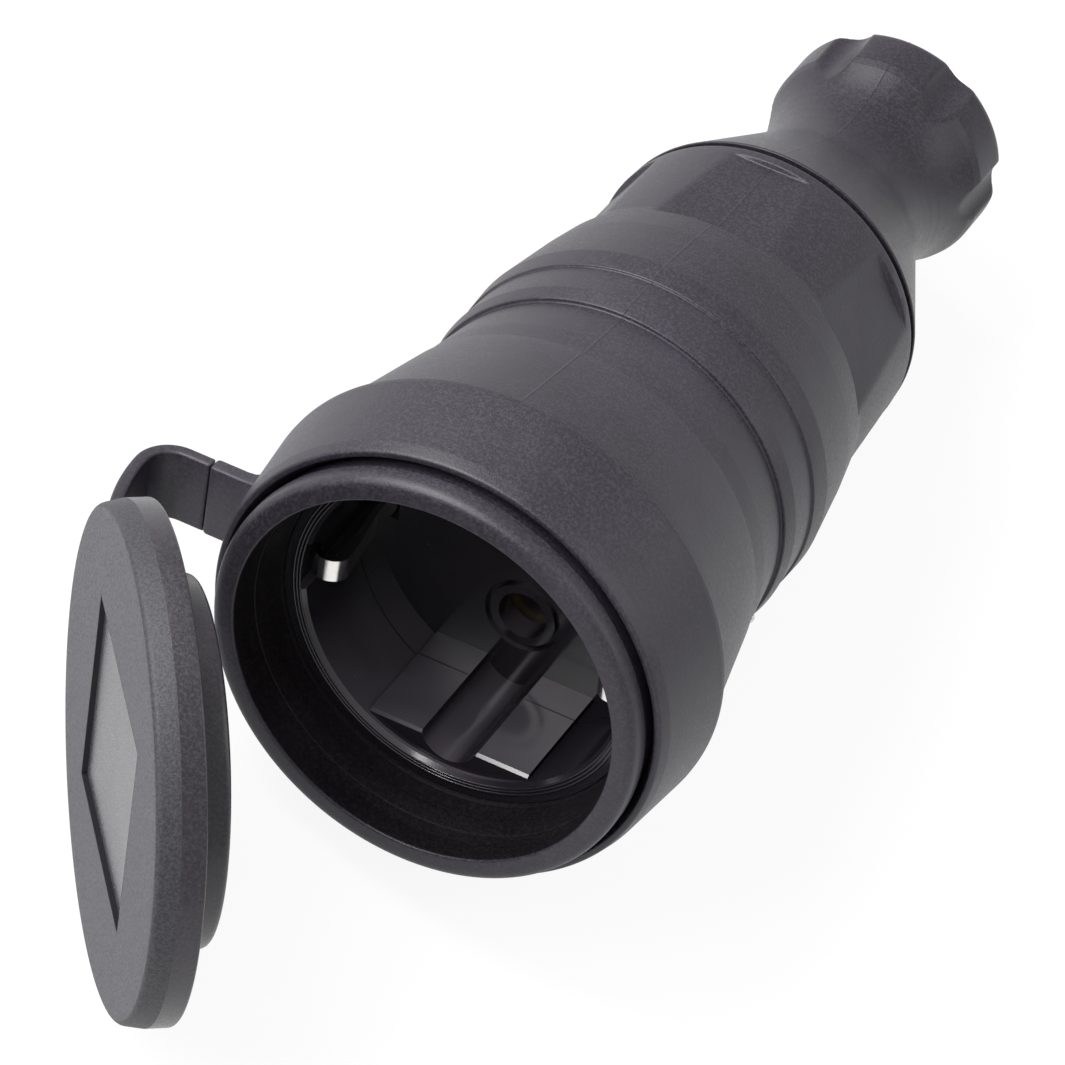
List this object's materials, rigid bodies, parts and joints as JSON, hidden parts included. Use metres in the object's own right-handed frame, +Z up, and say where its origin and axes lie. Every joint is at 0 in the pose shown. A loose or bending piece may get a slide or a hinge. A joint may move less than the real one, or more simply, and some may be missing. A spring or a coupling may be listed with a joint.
{
  "type": "inline socket connector",
  "caption": "Black rubber inline mains socket with round pin entries, side earth clips, a strapped sealing lid and a screwed cable gland.",
  "frame": {"origin": "on the mouth's axis, 2.7 mm behind the lip's front, inside the straight wall that takes the lid's plug", "axes": "+Y back along the body from the mouth to the cable gland, +Z up as it lies on a table"},
  "size_m": [0.073, 0.1815, 0.06],
  "materials": {
    "rubber": "matte",
    "nut_rubber": "satin",
    "seal_rubber": "matte",
    "insert_plastic": "gloss",
    "carrier_plastic": "matte",
    "brass": "satin",
    "spring_steel": "satin",
    "plated_strip": "gloss",
    "screw_steel": "satin"
  },
  "bodies": {
    "housing": {"rubber_housing": "rubber", "lid_collar": "rubber", "lid_strap": "rubber", "contact_insert": "insert_plastic", "contact_carrier": "carrier_plastic", "upper_pin_contact": "brass", "lower_pin_contact": "brass", "upper_clamp_spring": "spring_steel", "lower_clamp_spring": "spring_steel", "earth_bracket": "plated_strip", "earth_terminal": "brass", "upper_terminal_screw": "screw_steel", "lower_terminal_screw": "screw_steel", "earth_terminal_screw": "screw_steel", "upper_carrier_screw": "screw_steel", "lower_carrier_screw": "screw_steel", "insert_pin": "screw_steel", "gland_sleeve": "carrier_plastic", "cable_seal": "seal_rubber", "clamp_collet": "carrier_plastic"},
    "lid": {"sealing_lid": "rubber"},
    "nut_carrier": {"slip_washer": "carrier_plastic"},
    "nut": {"gland_nut": "nut_rubber"}
  },
  "joints": [
    {"name": "lid_hinge", "type": "hinge", "parent": "housing", "child": "lid", "pos_m": [-0.03623, -0.00057, -0.01261], "axis": [-0.3278, 0.1247, 0.9365], "range_deg": [-60, 51.7], "deforming": ["lid_strap"]},
    {"name": "nut_travel", "type": "slide", "parent": "housing", "child": "nut_carrier", "axis": [0, 0.9913, -0.132], "range_m": [0, 0.004]},
    {"name": "nut_turn", "type": "hinge", "parent": "nut_carrier", "child": "nut", "pos_m": [0, 0.09645, -0.01284], "axis": [0, 0.9913, -0.132], "range_deg": [0, 720]}
  ],
  "couplings": [
    {"joint": "nut_turn", "follows": "nut_travel", "rad_per_m": 3141.6}
  ]
}
